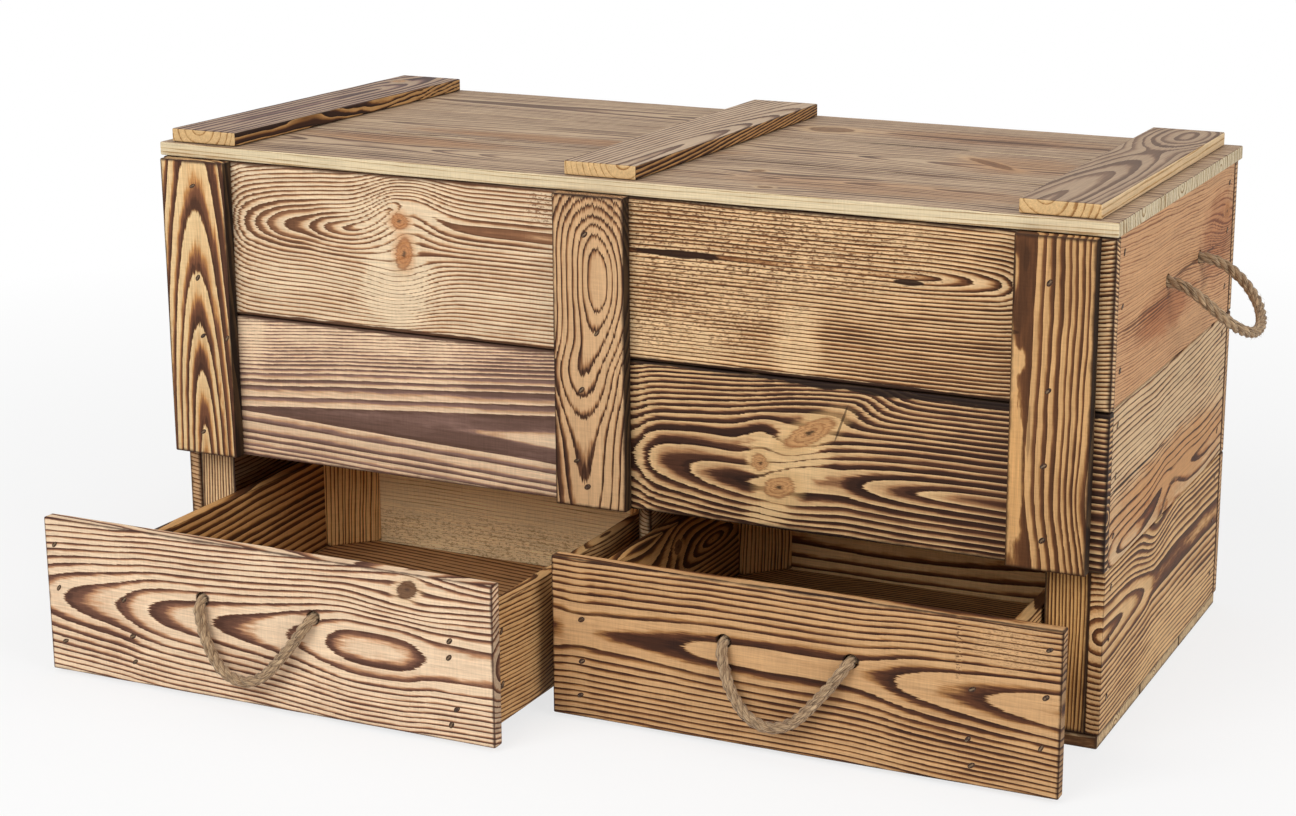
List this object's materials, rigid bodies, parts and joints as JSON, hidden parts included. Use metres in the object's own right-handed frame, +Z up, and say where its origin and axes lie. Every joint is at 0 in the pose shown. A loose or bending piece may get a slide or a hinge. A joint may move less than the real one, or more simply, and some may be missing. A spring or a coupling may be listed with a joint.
{
  "type": "mule chest",
  "caption": "Rustic plank chest with a hinged lid over an open coffer, a pair of drawers below it, and rope handles on the drawers and the ends.",
  "frame": {"origin": "centre of the closed chest's underside, on the surface it stands on", "axes": "+Z up, +X to the object's right as seen from the front, -Y towards the front where the drawers pull out"},
  "size_m": [1.1498, 0.698, 0.508],
  "materials": {
    "lid_wood": "weathered greyish brown softwood, lightly scorched",
    "batten_wood": "flamed and brushed softwood, bold dark grain",
    "front_wood": "flamed and brushed softwood, bold dark grain",
    "drawer_front_wood": "flamed and brushed softwood, bold dark grain",
    "drawer_box_wood": "darker scorched softwood, dry",
    "side_wood": "lightly flamed softwood, dry",
    "carcass_wood": "sawn softwood, dry",
    "jute_rope": "twisted jute, hairy and dull",
    "nail_steel": "dull steel, slightly rusted",
    "hinge_steel": "dull black steel"
  },
  "bodies": {
    "carcass": {"back_board_bottom": "carcass_wood", "back_board_middle": "carcass_wood", "back_board_top": "carcass_wood", "base_board_front": "carcass_wood", "base_board_middle": "carcass_wood", "base_board_rear": "carcass_wood", "carcass_nails": "nail_steel", "chest_floor_board_front": "carcass_wood", "chest_floor_board_middle": "carcass_wood", "chest_floor_board_rear": "carcass_wood", "drawer_divider": "carcass_wood", "front_batten_centre": "batten_wood", "front_batten_left": "batten_wood", "front_batten_right": "batten_wood", "front_board_lower": "front_wood", "front_board_upper": "front_wood", "hinge_fixed_leaves": "hinge_steel", "hinge_pins": "hinge_steel", "left_front_post": "carcass_wood", "left_rear_post": "carcass_wood", "left_side_board_bottom": "side_wood", "left_side_board_middle": "side_wood", "left_side_board_top": "side_wood", "right_front_post": "carcass_wood", "right_rear_post": "carcass_wood", "right_side_board_bottom": "side_wood", "right_side_board_middle": "side_wood", "right_side_board_top": "side_wood", "side_rope_tails": "jute_rope"},
    "lid": {"hinge_lid_leaves": "hinge_steel", "lid_batten_centre": "batten_wood", "lid_batten_left": "batten_wood", "lid_batten_right": "batten_wood", "lid_board_front": "lid_wood", "lid_board_middle": "lid_wood", "lid_board_rear": "lid_wood", "lid_nails": "nail_steel"},
    "left_drawer": {"left_drawer_back": "drawer_box_wood", "left_drawer_bottom_board_front": "drawer_box_wood", "left_drawer_bottom_board_rear": "drawer_box_wood", "left_drawer_corner_blocks": "drawer_box_wood", "left_drawer_front": "drawer_front_wood", "left_drawer_inner_wall": "drawer_box_wood", "left_drawer_nails": "nail_steel", "left_drawer_outer_wall": "drawer_box_wood", "left_drawer_rope_tails": "jute_rope"},
    "right_drawer": {"right_drawer_back": "drawer_box_wood", "right_drawer_bottom_board_front": "drawer_box_wood", "right_drawer_bottom_board_rear": "drawer_box_wood", "right_drawer_corner_blocks": "drawer_box_wood", "right_drawer_front": "drawer_front_wood", "right_drawer_inner_wall": "drawer_box_wood", "right_drawer_nails": "nail_steel", "right_drawer_outer_wall": "drawer_box_wood", "right_drawer_rope_tails": "jute_rope"},
    "left_drawer_rope": {"left_drawer_rope_loop": "jute_rope"},
    "right_drawer_rope": {"right_drawer_rope_loop": "jute_rope"},
    "left_side_rope": {"left_side_rope_loop": "jute_rope"},
    "right_side_rope": {"right_side_rope_loop": "jute_rope"}
  },
  "joints": [
    {"name": "lid_hinge", "type": "hinge", "parent": "carcass", "child": "lid", "pos_m": [0, 0.2237, 0.47975], "axis": [-1, 0, 0], "range_deg": [0, 105]},
    {"name": "left_drawer_slide", "type": "slide", "parent": "carcass", "child": "left_drawer", "axis": [0, -1, 0], "range_m": [-0.216, 0.114]},
    {"name": "right_drawer_slide", "type": "slide", "parent": "carcass", "child": "right_drawer", "axis": [0, -1, 0], "range_m": [-0.116, 0.214]},
    {"name": "left_drawer_rope_swing", "type": "hinge", "parent": "left_drawer", "child": "left_drawer_rope", "pos_m": [-0.255, -0.4575, 0.102], "axis": [-1, 0, 0], "range_deg": [0, 100]},
    {"name": "right_drawer_rope_swing", "type": "hinge", "parent": "right_drawer", "child": "right_drawer_rope", "pos_m": [0.241, -0.3575, 0.102], "axis": [-1, 0, 0], "range_deg": [0, 100]},
    {"name": "left_side_rope_swing", "type": "hinge", "parent": "carcass", "child": "left_side_rope", "pos_m": [-0.5025, 0.015, 0.405], "axis": [0, 1, 0], "range_deg": [0, 90]},
    {"name": "right_side_rope_swing", "type": "hinge", "parent": "carcass", "child": "right_side_rope", "pos_m": [0.5025, 0.015, 0.405], "axis": [0, -1, 0], "range_deg": [0, 90]}
  ]
}
